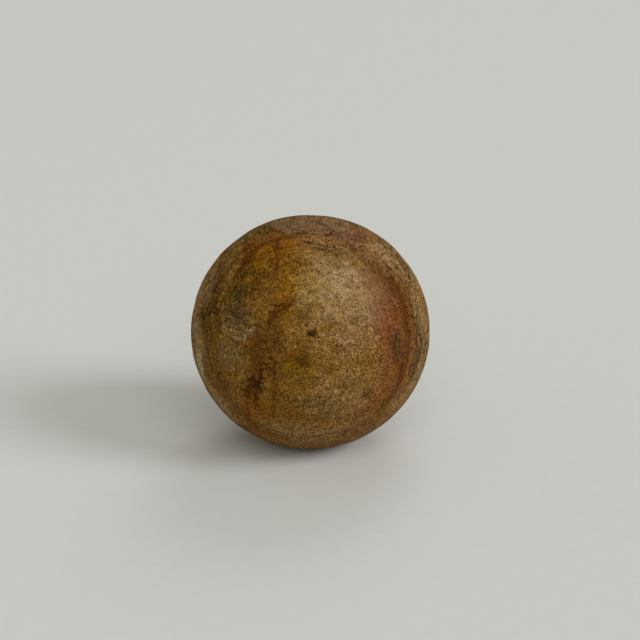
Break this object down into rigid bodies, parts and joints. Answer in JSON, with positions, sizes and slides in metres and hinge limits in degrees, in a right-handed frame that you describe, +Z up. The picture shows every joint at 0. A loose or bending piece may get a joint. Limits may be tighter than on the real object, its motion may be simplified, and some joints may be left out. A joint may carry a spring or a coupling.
{
  "type": "medicine ball",
  "caption": "Small solid ball turned from one block of hardwood, slightly flattened on top and underneath so that it stands still; held or lifted as an exercise weight.",
  "frame": {"origin": "middle of the resting flat, under the centre of the ball", "axes": "+Z up along the axis the ball was turned about, from the resting flat to the top flat; -Y towards the front, the side with the pith eye; +X to the right of it"},
  "size_m": [0.14, 0.14, 0.134],
  "materials": {
    "waxed_hardwood": "old brown hardwood, satin where handling has polished it, dull in the pores, checks and scuffs"
  },
  "bodies": {
    "root": {"turned_ball": "waxed_hardwood"}
  },
  "joints": []
}
